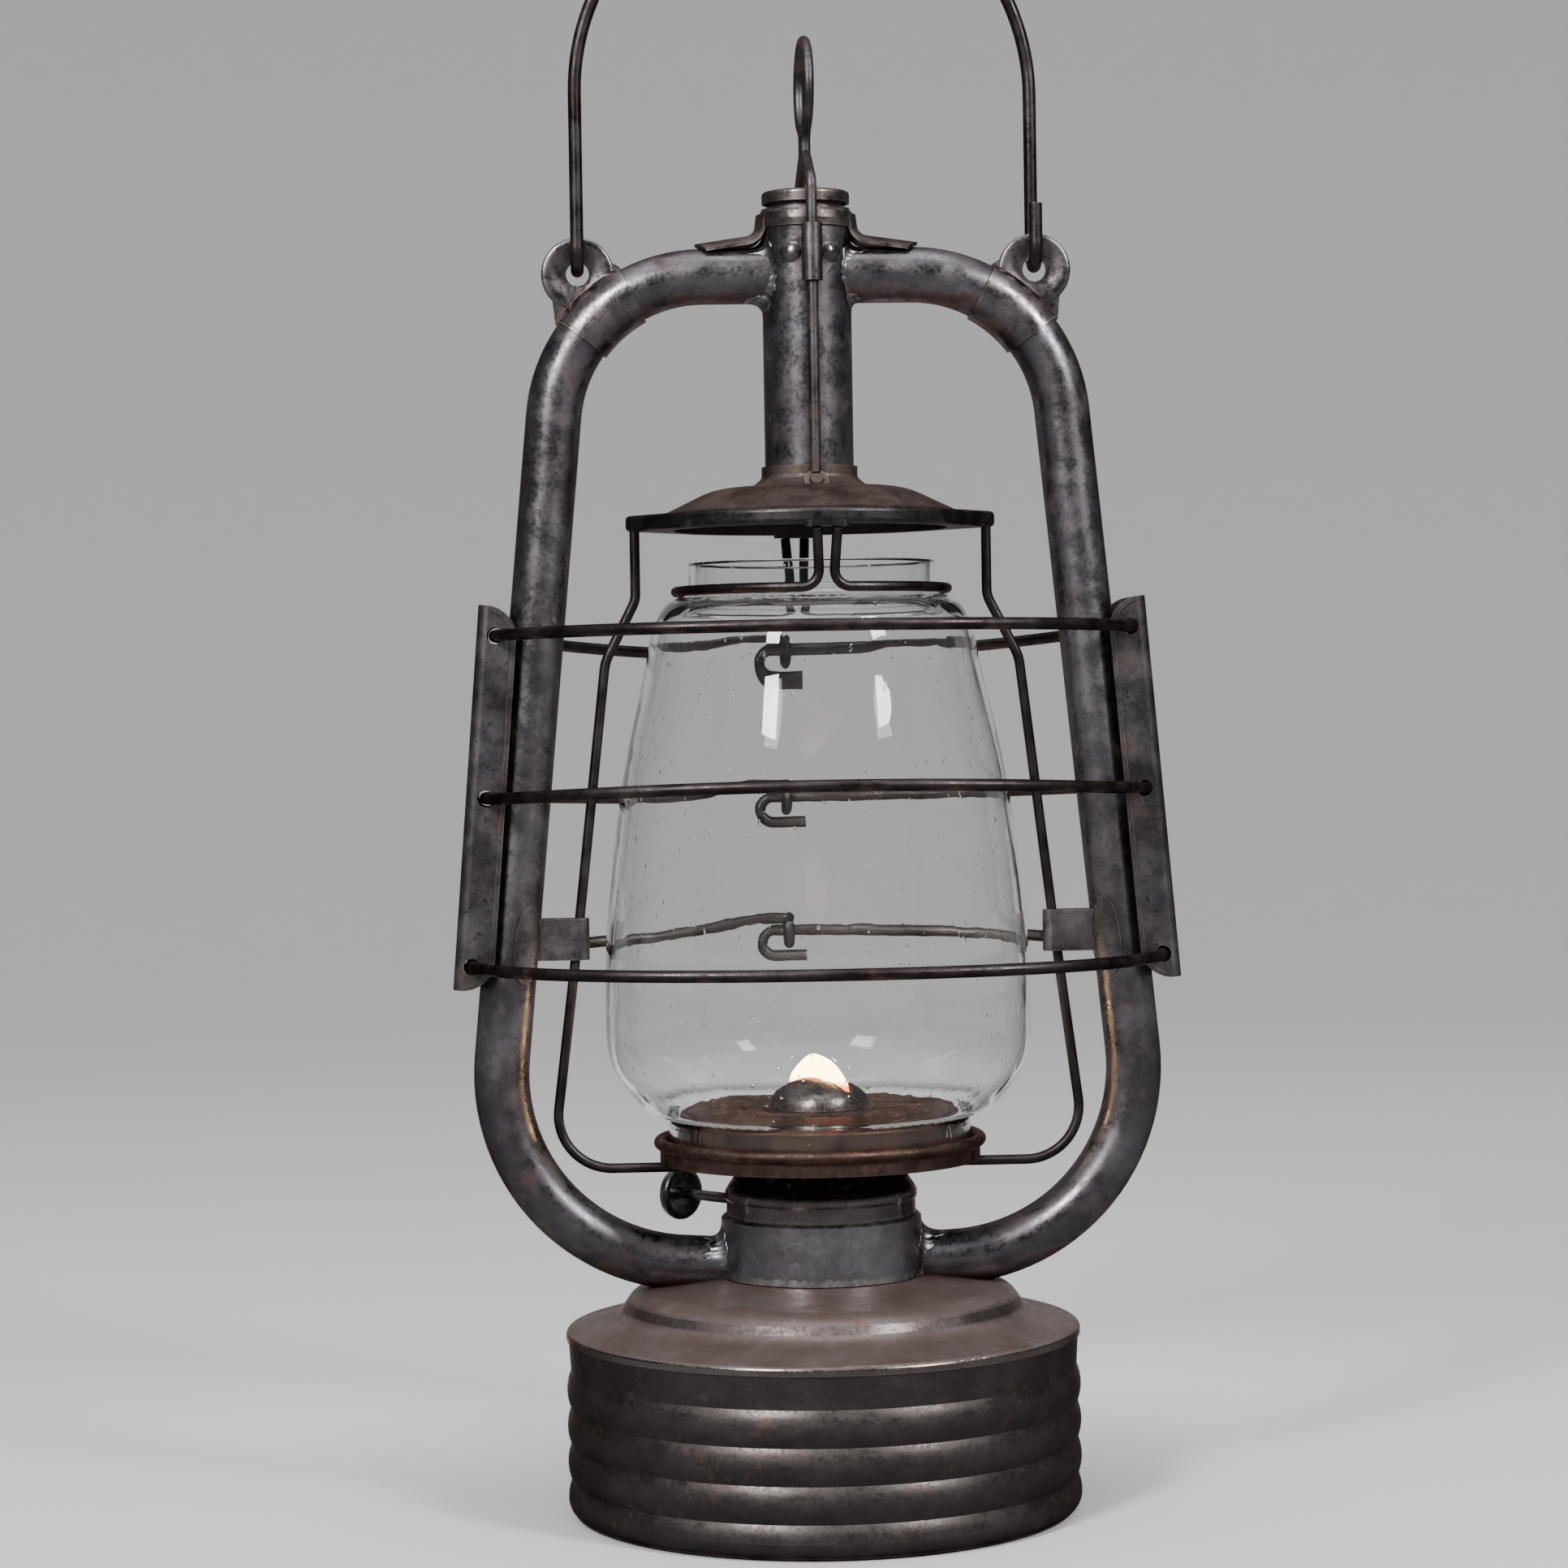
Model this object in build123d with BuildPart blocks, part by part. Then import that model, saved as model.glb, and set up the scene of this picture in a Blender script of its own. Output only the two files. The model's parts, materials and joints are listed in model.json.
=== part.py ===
from build123d import *
import os
from math import atan2, cos, degrees, pi, radians, sin, sqrt, tan

os.makedirs("parts", exist_ok=True)

# Tubular hot-blast barn lantern, in millimetres.
# The origin is the centre of the base on the ground, +Z is up, the side tubes
# stand in the XZ plane and the front faces -Y.

# ---- driving dimensions -------------------------------------------------
sheet = 0.7                     # tinplate of the pressed parts

# fount
fount_r = 65.0                  # crest of the ribs
rib_depth = 1.05
rib_pitch = 9.13
rib_count = 4
first_rib_z = 4.35              # crest of the lowest rib
foot_r = 62.0                   # where the side curls under
seam_z = 44.5                   # joint between side and top shell
fount_top_z = 59.6              # top shell where the collar stands
bottom_recess = 3.1             # bottom plate above the ground

# collar and burner
collar_r = 25.8
collar_z = (59.75, 74.8)
collar_mouth_r = 21.0
burner_r = 24.0
burner_floor_z = 70.5
gallery_top_z = 88.3
gallery_holes = 36
gallery_hole_r = 0.95
wick_angle = 133.0              # direction of the wick's width, outward to the knob
wick_size = (15.0, 2.5)
wick_z = (14.0, 106.5)
wick_tube_z = (62.0, 105.0)
shaft_z = 76.8
shaft_offset = 4.9              # shaft axis beside the wick's mid plane
shaft_r = 1.35
spur_r = 3.3
spur_spread = 4.5               # spur wheels each side of the wick's middle
knob_r = 6.9
knob_reach = 44.0               # knob's inner face along the shaft

# filler
filler_y = 38.5
filler_r = 6.8
filler_z = (52.0, 65.0)
cap_r = 8.5
cap_z = (60.4, 68.0)
washer_z = (65.05, 66.55)

# tubes
tube_r = 7.0
tube_wall = 0.6
centre_tube_r = 11.2
centre_tube_z = (258.5, 328.0)
tube_corners = [(9.0, 311.5), (60.8, 311.5), (84.7, 65.95), (20.0, 62.15)]
tube_bends = [38.0, 48.0]
collar_port_z = 62.6            # where the tubes open into the collar
tube_cap_r = 11.05
tube_cap_z = (327.0, 332.4)     # foot of its neck and its top
saddle_ring_z = (323.2, 327.5)
saddle_width = 10.8
saddle_reach = 28.0

# globe and its plate
globe_z = (90.3, 239.4)         # without the rounded rims
glass = 1.8
globe_neck_r = (38.1, 31.0)
plate_r = 40.5
plate_z = 88.7
deck_z = 100.6
cone_r = 12.8
cone_top_z = 109.5

# hood and wires
hood_collar_z = 263.4
hood_hem_z = (247.7, 251.7)
hood_hem_r = 38.6
wire_r = 1.25                   # side wires and globe clamps
lift_wire_r = 1.35
lift_y = 13.5                   # lift wire in front of and behind the centre tube
lift_turn = 3.0                 # the lift wire's plane stands a little round
lift_ring_r = 11.4
lift_ring_z = 358.8
side_wire_x = 44.4
clamp_r = 34.2
clamp_z = 232.4

# bail
ear_centre = (57.6, 312.4)
ear_r = 9.1
ear_hole_r = 2.9
ear_half = 0.9                  # half the thickness of the ear's web
bail_wire_r = 1.65
bail_hook_r = 5.1
bail_pivot_z = 318.4
bail_arch_z = 357.0
bail_tail_z = 328.6

# guard
hoop_r = 1.5
hoop_front = 63.0
hoop_rear = 60.0
guard_top = (83.7, 229.8)       # outer edge of the guard plate, top and bottom
guard_bottom = (91.7, 133.7)
guard_width = 10.0
guard_sheet = 0.8

clearance = 0.3                 # between parts that slide past each other


# ---- helpers ------------------------------------------------------------
def plan(angle):
    """Unit vector in the horizontal plane at an angle from +X, in degrees."""
    return Vector(cos(radians(angle)), sin(radians(angle)), 0)


def bend_radii(points, share=0.45):
    """Largest bend that the two runs at each corner allow."""
    radii = []
    for before, corner, after in zip(points, points[1:], points[2:]):
        run_in = Vector(*corner) - Vector(*before)
        run_out = Vector(*after) - Vector(*corner)
        half_turn = radians(run_in.get_angle(run_out)) / 2
        radii.append(share * min(run_in.length, run_out.length) / tan(half_turn))
    return radii


def sweep_round(route, radius, bore=0.0):
    """Sweep a round section, hollow when a bore is given, along a route."""
    path = route.wire()
    with BuildSketch(Plane(path @ 0, z_dir=path % 0)) as section:
        Circle(radius)
        if bore:
            Circle(bore, mode=Mode.SUBTRACT)
    sweep(section.sketch, path=path)


def revolve_profile(*points, mode=Mode.ADD):
    """Solid of revolution about Z from a closed outline of (radius, height)."""
    with BuildSketch(Plane.XZ) as profile:
        with BuildLine():
            Polyline(*points, close=True)
        make_face()
    revolve(profile.sketch, axis=Axis.Z, mode=mode)


def revolve_sheet(corners, bends, thickness, mode=Mode.ADD):
    """Revolved sheet of even thickness below a cornered (radius, height) line."""
    with BuildSketch(Plane.XZ) as profile:
        with BuildLine():
            FilletPolyline(*corners, radius=bends)
            offset(amount=thickness, side=Side.RIGHT)
        make_face()
    revolve(profile.sketch, axis=Axis.Z, mode=mode)


front_plane = Plane(
    origin=(0, 0, 0),
    x_dir=plan(90 + lift_turn),
    z_dir=plan(lift_turn),
)                               # local x runs to the rear, local y runs up
wick_dir = plan(wick_angle)
wick_side = plan(wick_angle + 90)
wick_plane = Plane(origin=(0, 0, 0), x_dir=wick_dir, z_dir=(0, 0, 1))
shaft_origin = wick_side * shaft_offset + Vector(0, 0, shaft_z)
bend_top, bend_low = tube_corners[1:3]
tube_tilt = degrees(atan2(bend_low[0] - bend_top[0], bend_top[1] - bend_low[1]))


def tube_x(height):
    """Distance of the straight stretch of a side tube from the lantern's axis."""
    return bend_top[0] + (bend_top[1] - height) * tan(radians(tube_tilt))


# ---- fount --------------------------------------------------------------
rib_base_z = first_rib_z + rib_pitch / 2
valley_r = fount_r - rib_depth

foot_lip = 1.5                  # the side's edge turns in under the bottom plate
band_flare = 0.5                # the plain band above the ribs leans out

with BuildPart() as fount_side:
    with BuildSketch(Plane.XZ):
        with BuildLine():
            for skin in (0, sheet):     # outer face, then inner face
                foot = (foot_r, skin)
                crest = (fount_r - skin, first_rib_z)
                valley = (valley_r - skin, rib_base_z)
                TangentArc(crest, foot, tangent=(0, -1))
                TangentArc(crest, valley, tangent=(0, 1))
                for rib in range(1, rib_count):
                    low = rib_base_z + (rib - 1) * rib_pitch
                    ThreePointArc(
                        (valley_r - skin, low),
                        (fount_r - skin, low + rib_pitch / 2),
                        (valley_r - skin, low + rib_pitch),
                    )
                band_z = rib_base_z + (rib_count - 1) * rib_pitch
                Line((valley_r - skin, band_z), (valley_r + band_flare - skin, seam_z))
            Line((valley_r + band_flare, seam_z), (valley_r + band_flare - sheet, seam_z))
            Polyline((foot_r, 0), (foot_r - foot_lip, 0), (foot_r - foot_lip, sheet), (foot_r, sheet))
        make_face()
    revolve(axis=Axis.Z)
fount_side.part.label = "fount_side"

with BuildPart() as fount_bottom:
    skirt_r = foot_r - foot_lip - 0.2
    revolve_profile(
        (0, bottom_recess - sheet), (skirt_r - sheet, bottom_recess - sheet),
        (skirt_r - sheet, 0.2), (skirt_r, 0.2), (skirt_r, bottom_recess), (0, bottom_recess),
    )
fount_bottom.part.label = "fount_bottom"

top_corners = [
    (25.0, fount_top_z), (47.6, 56.5), (52.0, 50.0), (fount_r, 46.6), (fount_r, seam_z + 0.05),
]
top_bends = [7.0, 6.0, 1.4]

with BuildPart() as fount_top:
    revolve_sheet(top_corners, top_bends, sheet)
    with BuildSketch(Plane.XY.offset(fount_top_z)):
        with Locations((0, filler_y)):
            Circle(filler_r + 0.02)
    extrude(amount=10, both=True, mode=Mode.SUBTRACT)
fount_top.part.label = "fount_top"

with BuildPart() as filler_neck:
    with BuildSketch(Plane.XY.offset(filler_z[0])):
        with Locations((0, filler_y)):
            Circle(filler_r)
            Circle(filler_r - sheet, mode=Mode.SUBTRACT)
    extrude(amount=filler_z[1] - filler_z[0])
filler_neck.part.label = "filler_neck"

with BuildPart() as filler_cap:
    with BuildSketch(Plane.XY.offset(cap_z[0])):
        with Locations((0, filler_y)):
            Circle(cap_r)
    extrude(amount=cap_z[1] - cap_z[0])
    fillet(filler_cap.edges().group_by(Axis.Z)[-1], radius=1.0)
    with BuildSketch(Plane.XY.offset(cap_z[0])):
        with Locations((0, filler_y)):
            Circle(filler_r + 0.25)
    extrude(amount=6.5, mode=Mode.SUBTRACT)
    with BuildSketch(Plane.XY.offset(cap_z[0] + 0.8)) as grip_flutes:
        with Locations((0, filler_y)):
            with PolarLocations(cap_r, 24):
                Circle(0.35)
    extrude(amount=4.6, mode=Mode.SUBTRACT)
filler_cap.part.label = "filler_cap"

with BuildPart() as cap_washer:
    with BuildSketch(Plane.XY.offset(washer_z[0])):
        with Locations((0, filler_y)):
            Circle(filler_r - 0.1)
    extrude(amount=washer_z[1] - washer_z[0])
cap_washer.part.label = "cap_washer"

# ---- collar and burner --------------------------------------------------
low_z, high_z = collar_z
shoulder_r = collar_r - 0.5

with BuildPart() as collar:
    revolve_profile(
        (collar_r - sheet, low_z), (collar_r, low_z), (shoulder_r, high_z - 0.6),
        (shoulder_r - 0.6, high_z), (collar_mouth_r, high_z), (collar_mouth_r, high_z - sheet),
        (shoulder_r - sheet, high_z - sheet),
    )
    with BuildSketch(Plane.YZ) as tube_port:
        with Locations((0, collar_port_z)):
            Circle(tube_r - tube_wall)
        Rectangle(40, low_z + 0.8, align=(Align.CENTER, Align.MIN), mode=Mode.SUBTRACT)
    extrude(amount=40, both=True, mode=Mode.SUBTRACT)
collar.part.label = "collar"

cup_r = collar_mouth_r - 0.4    # cup of the burner that hangs in the collar
flange_z = high_z + 0.05
tube_slot = (wick_size[0] + 2.1, wick_size[1] + 2.1)

with BuildPart() as burner_base:
    revolve_profile(
        (0, burner_floor_z), (cup_r, burner_floor_z), (cup_r, flange_z), (burner_r, flange_z),
        (burner_r, flange_z + 0.5), (cup_r - 0.6, flange_z + 0.5),
        (cup_r - 0.6, burner_floor_z + 0.6), (0, burner_floor_z + 0.6),
    )
    with BuildSketch(wick_plane.offset(burner_floor_z - 0.5)):
        RectangleRounded(*tube_slot, 1.5)
    extrude(amount=2, mode=Mode.SUBTRACT)
burner_base.part.label = "burner_base"

with BuildPart() as burner_gallery:
    revolve_sheet(
        [(19.2, gallery_top_z), (19.2, 87.0), (20.6, 86.7), (24.3, 81.0), (24.3, 79.4),
         (23.9, 78.6), (burner_r, 75.4)],
        [0, 0.4, 2.5, 0, 0], 0.5,
    )
    for row, height in enumerate((82.9, 85.0)):
        for hole in range(gallery_holes):
            outward = plan((hole + row / 2) * 360 / gallery_holes)
            with BuildSketch(Plane(outward * 16 + Vector(0, 0, height), z_dir=outward)):
                Circle(gallery_hole_r)
            extrude(amount=12, mode=Mode.SUBTRACT)
    with BuildSketch(Plane(shaft_origin, z_dir=wick_dir)):
        Circle(shaft_r + 0.08)
    extrude(amount=30, mode=Mode.SUBTRACT)
burner_gallery.part.label = "burner_gallery"

with BuildPart() as wick_tube:
    with BuildSketch(wick_plane.offset(wick_tube_z[0])):
        RectangleRounded(wick_size[0] + 2.0, wick_size[1] + 2.0, 1.4)
        RectangleRounded(wick_size[0] + 1.0, wick_size[1] + 1.0, 0.9, mode=Mode.SUBTRACT)
    extrude(amount=wick_tube_z[1] - wick_tube_z[0])
    with BuildSketch(Plane(Vector(0, 0, shaft_z), x_dir=wick_dir, z_dir=wick_side)) as spur_slots:
        with Locations((-spur_spread, 0), (spur_spread, 0)):
            Rectangle(2.2, 7.6)
    extrude(amount=5, mode=Mode.SUBTRACT)
wick_tube.part.label = "wick_tube"

with BuildPart() as wick:
    with BuildSketch(wick_plane.offset(wick_z[0])):
        Rectangle(*wick_size)
    extrude(amount=wick_z[1] - wick_z[0])
wick.part.label = "wick"

inner_end = 8.0                 # shaft beyond the lantern's axis
knob_bore = 1.2

with BuildPart() as knob_shaft:
    with BuildSketch(Plane(shaft_origin - wick_dir * inner_end, z_dir=wick_dir)):
        Circle(shaft_r)
    extrude(amount=inner_end + knob_reach + knob_bore)
knob_shaft.part.label = "knob_shaft"

with BuildPart() as spur_wheels:
    for place in (-spur_spread, spur_spread):
        with BuildSketch(Plane(shaft_origin + wick_dir * (place - 0.5), z_dir=wick_dir)):
            Circle(spur_r - 0.8)
            with PolarLocations(spur_r - 0.8, 12):
                RegularPolygon(0.8, 3)
            Circle(shaft_r, mode=Mode.SUBTRACT)
        extrude(amount=1.0)
spur_wheels.part.label = "spur_wheels"

with BuildPart() as wick_knob:
    knob_plane = Plane(shaft_origin + wick_dir * knob_reach, x_dir=(0, 0, 1), z_dir=wick_side)
    with BuildSketch(knob_plane):
        with BuildLine():
            Polyline((shaft_r, 0.8), (3.0, 0.6), (5.0, 0.2), (5.6, 0.0))
            Spline(
                (5.6, 0.0), (knob_r - 0.2, 0.6), (knob_r, 1.5), (knob_r - 0.3, 2.5), (5.4, 3.0),
                tangents=[(1, 0), (-1, 0.1)],
            )
            Polyline((5.4, 3.0), (2.2, 3.3), (0, 3.4), (0, 1.3), (shaft_r, 1.3), (shaft_r, 0.8))
        make_face()
    revolve(axis=Axis(shaft_origin, wick_dir))
wick_knob.part.label = "wick_knob"

# ---- tubes --------------------------------------------------------------
with BuildPart() as fount_envelope:     # cutter for the tubes' lower ends
    with BuildSketch(Plane.XZ):
        with BuildLine():
            FilletPolyline(*[(r, z + 0.03) for r, z in top_corners[:4]], radius=top_bends[:2])
            Polyline((fount_r, top_corners[3][1] + 0.03), (fount_r, 30), (0, 30))
            Polyline((0, 30), (0, fount_top_z + 0.03), (top_corners[0][0], fount_top_z + 0.03))
        make_face()
    revolve(axis=Axis.Z)

with BuildPart() as side_tube_right:
    with BuildLine(Plane.XZ) as tube_route:
        FilletPolyline(*tube_corners, radius=tube_bends)
    sweep_round(tube_route, tube_r, tube_r - tube_wall)
    add(fount_envelope.part, mode=Mode.SUBTRACT)
    with BuildSketch(Plane.XY.offset(50)):
        Circle(collar_r)
    extrude(amount=30, mode=Mode.SUBTRACT)
    with BuildSketch(Plane.XY.offset(300)):
        Circle(centre_tube_r)
    extrude(amount=30, mode=Mode.SUBTRACT)
side_tube_right.part.label = "side_tube_right"

with BuildPart() as tube_core_right:    # cutter for what is soldered round a tube
    sweep_round(tube_route, tube_r + 0.03)

with BuildPart() as side_tube_left:
    mirror(side_tube_right.part, about=Plane.YZ)
side_tube_left.part.label = "side_tube_left"

with BuildPart() as centre_tube:
    with BuildSketch(Plane.XY.offset(centre_tube_z[0])):
        Circle(centre_tube_r)
        Circle(centre_tube_r - tube_wall, mode=Mode.SUBTRACT)
    extrude(amount=centre_tube_z[1] - centre_tube_z[0])
    with BuildSketch(Plane.YZ) as side_ports:
        with Locations((0, tube_corners[0][1])):
            Circle(tube_r - tube_wall)
    extrude(amount=20, both=True, mode=Mode.SUBTRACT)
centre_tube.part.label = "centre_tube"

with BuildPart() as tube_cap:
    neck_z, crown_z = tube_cap_z
    neck_r = 9.4
    revolve_sheet(
        [(0, crown_z), (tube_cap_r, crown_z), (tube_cap_r, crown_z - 3.0)], [0.9], tube_wall,
    )
    revolve_profile(
        (neck_r - tube_wall, neck_z), (neck_r, neck_z),
        (neck_r, crown_z - 0.5), (neck_r - tube_wall, crown_z - 0.5),
    )
tube_cap.part.label = "tube_cap"

with BuildPart() as top_saddle:
    half_width = saddle_width / 2
    arch = 1.9                      # the strap is bowed to the tube
    with BuildLine(Plane.XZ) as arm_route:
        FilletPolyline((11.9, 326.6), (12.6, 321.2), (saddle_reach, 318.95), radius=3.2)
    arm_path = arm_route.wire()
    with BuildSketch(Plane(arm_path @ 0, x_dir=(0, 1, 0), z_dir=arm_path % 0)):
        with BuildLine():
            for level in (-1.9, -1.9 + sheet):
                SagittaArc((-half_width, level), (half_width, level), arch)
            for edge in (-half_width, half_width):
                Line((edge, -1.9), (edge, -1.9 + sheet))
        make_face()
    sweep(path=arm_path)
    with BuildSketch(Plane.XY.offset(310)) as pointed_end:
        for side in (1, -1):
            with BuildLine():
                Polyline(
                    (saddle_reach + 0.5, 0), (saddle_reach + 0.5, side * 7),
                    (saddle_reach - 3.6, side * 7), close=True,
                )
            make_face()
    extrude(amount=20, mode=Mode.SUBTRACT)
    mirror(about=Plane.YZ)
    ring_low, ring_high = saddle_ring_z
    revolve_profile(
        (centre_tube_r, ring_low), (11.9, ring_low), (12.05, ring_low + 1.8),
        (11.9, ring_high - 0.7), (11.4, ring_high), (centre_tube_r, ring_high),
    )
    with BuildSketch(Plane.XY.offset(300)):
        Circle(centre_tube_r + 0.02)
    extrude(amount=27.6, mode=Mode.SUBTRACT)
    add(tube_core_right.part, mode=Mode.SUBTRACT)
    add(tube_core_right.part.mirror(Plane.YZ), mode=Mode.SUBTRACT)
top_saddle.part.label = "top_saddle"

# ---- bail ears ----------------------------------------------------------
bend_centre = (tube_corners[1][0] - tube_bends[0] * tan(radians(90 - tube_tilt) / 2),
               tube_corners[1][1] - tube_bends[0])
band_angles = (36.5, 62.0)      # stretch of the bend that the band covers

with BuildPart() as bail_ear_right:
    band_root = [
        (bend_centre[0] + (tube_bends[0] + tube_r) * cos(radians(angle)),
         bend_centre[1] + (tube_bends[0] + tube_r) * sin(radians(angle)))
        for angle in band_angles
    ]
    with BuildSketch(Plane.XZ) as web:
        with Locations(ear_centre):
            Circle(ear_r - 2.0)
        with Locations(*band_root):
            Circle(0.9)
        make_hull()
        with Locations(ear_centre):
            Circle(ear_r)
    extrude(amount=ear_half, both=True)
    eye_origin = (ear_centre[0], 0, ear_centre[1])
    with BuildSketch(Plane(eye_origin, x_dir=(1, 0, 0), z_dir=(0, 0, 1))) as dished_ring:
        with BuildLine():
            for face in (-1, 1):
                Spline(
                    (ear_hole_r, face * 0.5), (4.6, face * 0.75), (6.8, face * 1.35),
                    (8.2, face * 1.45), (ear_r, face * 0.9),
                    tangents=[(1, 0), (0.3, -face)],
                )
                Line((ear_r, 0), (ear_r, face * 0.9))
                Line((ear_hole_r, 0), (ear_hole_r, face * 0.5))
        make_face()
    dish_axis = Axis(eye_origin, (0, 1, 0))
    with BuildSketch(Plane.XZ) as dish_clearing:
        with Locations(ear_centre):
            Circle(5.9)
    extrude(amount=5, both=True, mode=Mode.SUBTRACT)
    revolve(dished_ring.sketch, axis=dish_axis)
    spoke = Vector(cos(radians(band_angles[0])), 0, sin(radians(band_angles[0])))
    bend_origin = Vector(bend_centre[0], 0, bend_centre[1])
    band_plane = Plane(
        bend_origin + spoke * tube_bends[0], x_dir=spoke, z_dir=spoke.cross(Vector(0, 1, 0)),
    )
    with BuildSketch(band_plane):
        Circle(tube_r + 0.75)
    band_axis = Axis(bend_origin, (0, -1, 0))
    revolve(axis=band_axis, revolution_arc=band_angles[1] - band_angles[0])
    add(tube_core_right.part, mode=Mode.SUBTRACT)
bail_ear_right.part.label = "bail_ear_right"

with BuildPart() as bail_ear_left:
    mirror(bail_ear_right.part, about=Plane.YZ)
bail_ear_left.part.label = "bail_ear_left"

# ---- bail handle --------------------------------------------------------
with BuildPart() as bail_handle:
    arm_x, arm_y, eye_z = ear_centre[0], bail_hook_r, bail_pivot_z
    arch_r = sqrt(arm_x * arm_x + arm_y * arm_y)
    arch_start = (-arm_x, -arm_y, bail_arch_z)
    arch_end = (arm_x, arm_y, bail_arch_z)
    with BuildLine() as bail_route:
        Line((-arm_x, arm_y, bail_tail_z), (-arm_x, arm_y, eye_z))
        ThreePointArc((-arm_x, arm_y, eye_z), (-arm_x, 0, eye_z - arm_y), (-arm_x, -arm_y, eye_z))
        Line((-arm_x, -arm_y, eye_z), arch_start)
        ThreePointArc(arch_start, (0, 0, bail_arch_z + arch_r), arch_end)
        Line(arch_end, (arm_x, arm_y, eye_z))
        ThreePointArc((arm_x, arm_y, eye_z), (arm_x, 0, eye_z - arm_y), (arm_x, -arm_y, eye_z))
        Line((arm_x, -arm_y, eye_z), (arm_x, -arm_y, bail_tail_z))
    sweep_round(bail_route, bail_wire_r)
bail_handle.part.label = "bail_handle"

# ---- lift wire, guides and hood ----------------------------------------
eye_tilt = 30.0                 # the eye under the rivet leans back this much
eye_centre = (14.3, 258.9)      # (distance from the axis, height) of its seat


def eye_plane(side, lift=0.0):
    """Plane of the rivet's seat; side is -1 at the front and +1 at the rear."""
    outward = plan(90 + lift_turn) * side
    normal = outward * cos(radians(eye_tilt)) + Vector(0, 0, sin(radians(eye_tilt)))
    seat = outward * eye_centre[0] + Vector(0, 0, eye_centre[1])
    return Plane(seat + normal * lift, z_dir=normal)


with BuildPart() as lift_wire:
    neck = lift_wire_r + 0.2
    flare_r = 4.0
    reach = lift_ring_r + flare_r
    flare_z = lift_ring_z - sqrt(reach**2 - (neck + flare_r) ** 2)
    join_y = (neck + flare_r) * lift_ring_r / reach
    join_z = lift_ring_z - (lift_ring_z - flare_z) * lift_ring_r / reach
    mid_angle = atan2(lift_ring_z - flare_z, neck + flare_r) / 2
    with BuildLine(front_plane) as lift_route:
        for side in (-1, 1):
            leg = [
                (side * lift_y, eye_centre[1] + 2.6), (side * lift_y, 334.0),
                (side * neck, 342.0), (side * neck, flare_z),
            ]
            FilletPolyline(*leg, radius=[4.0, 1.0])
            ThreePointArc(
                (side * neck, flare_z),
                (side * (neck + flare_r - flare_r * cos(mid_angle)),
                 flare_z + flare_r * sin(mid_angle)),
                (side * join_y, join_z),
            )
        ThreePointArc(
            (-join_y, join_z), (0, lift_ring_z + lift_ring_r), (join_y, join_z),
        )
    sweep_round(lift_route, lift_wire_r)
    for side in (-1, 1):
        with BuildSketch(eye_plane(side, 0.05)):
            Circle(3.0)
        extrude(amount=0.9)
lift_wire.part.label = "lift_wire"

with BuildPart() as hood_rivets:
    for side in (-1, 1):
        with BuildSketch(eye_plane(side, 1.0)):
            Circle(1.85)
        extrude(amount=0.9, taper=25)
    fillet(hood_rivets.faces().filter_by(GeomType.PLANE).sort_by(Axis.Z)[-2:].edges(), 0.3)
hood_rivets.part.label = "hood_rivets"

with BuildPart() as hood:
    hem_low, hem_high = hood_hem_z
    with BuildSketch(Plane.XY.offset(hem_low)):
        Circle(hood_hem_r)
        with Locations((side_wire_x, 0), (-side_wire_x, 0)):
            Circle(2.2)
        make_hull()
        Circle(hood_hem_r - 4.2, mode=Mode.SUBTRACT)
    extrude(amount=hem_high - hem_low)
    outer_wall = hood.faces().filter_by(Axis.Z, reverse=True).sort_by(SortBy.AREA)[:-1]
    fillet(outer_wall.edges().filter_by(Plane.XY), radius=1.2)
    revolve_sheet(
        [(centre_tube_r + clearance + 0.6, hood_collar_z), (centre_tube_r + clearance + 0.6, 260.6),
         (14.5, 258.6), (24.5, 257.9), (37.2, hem_high + 0.1)],
        [1.5, 3.0, 20.0], 0.6,
    )
    for side in (-1, 1):
        with BuildSketch(eye_plane(side)):
            Circle(3.3)
        extrude(amount=-2.2)
        with BuildSketch(eye_plane(side)):
            Circle(3.3)
        extrude(amount=8, mode=Mode.SUBTRACT)
        with BuildSketch(Plane.XY.offset(eye_centre[1])):
            with Locations(plan(90 + lift_turn) * side * lift_y):
                Circle(lift_wire_r + 0.1)
        extrude(amount=8, mode=Mode.SUBTRACT)
        lobe = plan(90 + lift_turn) * side * (hood_hem_r - 2.0)
        with BuildSketch(Plane(lobe + Vector(0, 0, hem_low - 0.7), x_dir=plan(lift_turn))):
            SlotOverall(11.0, 3.6)
        extrude(amount=2.0)
    with BuildSketch(Plane.XY.offset(hem_low - 5)) as tube_way:
        Circle(centre_tube_r + clearance)
    extrude(amount=30, mode=Mode.SUBTRACT)
hood.part.label = "hood"


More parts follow.
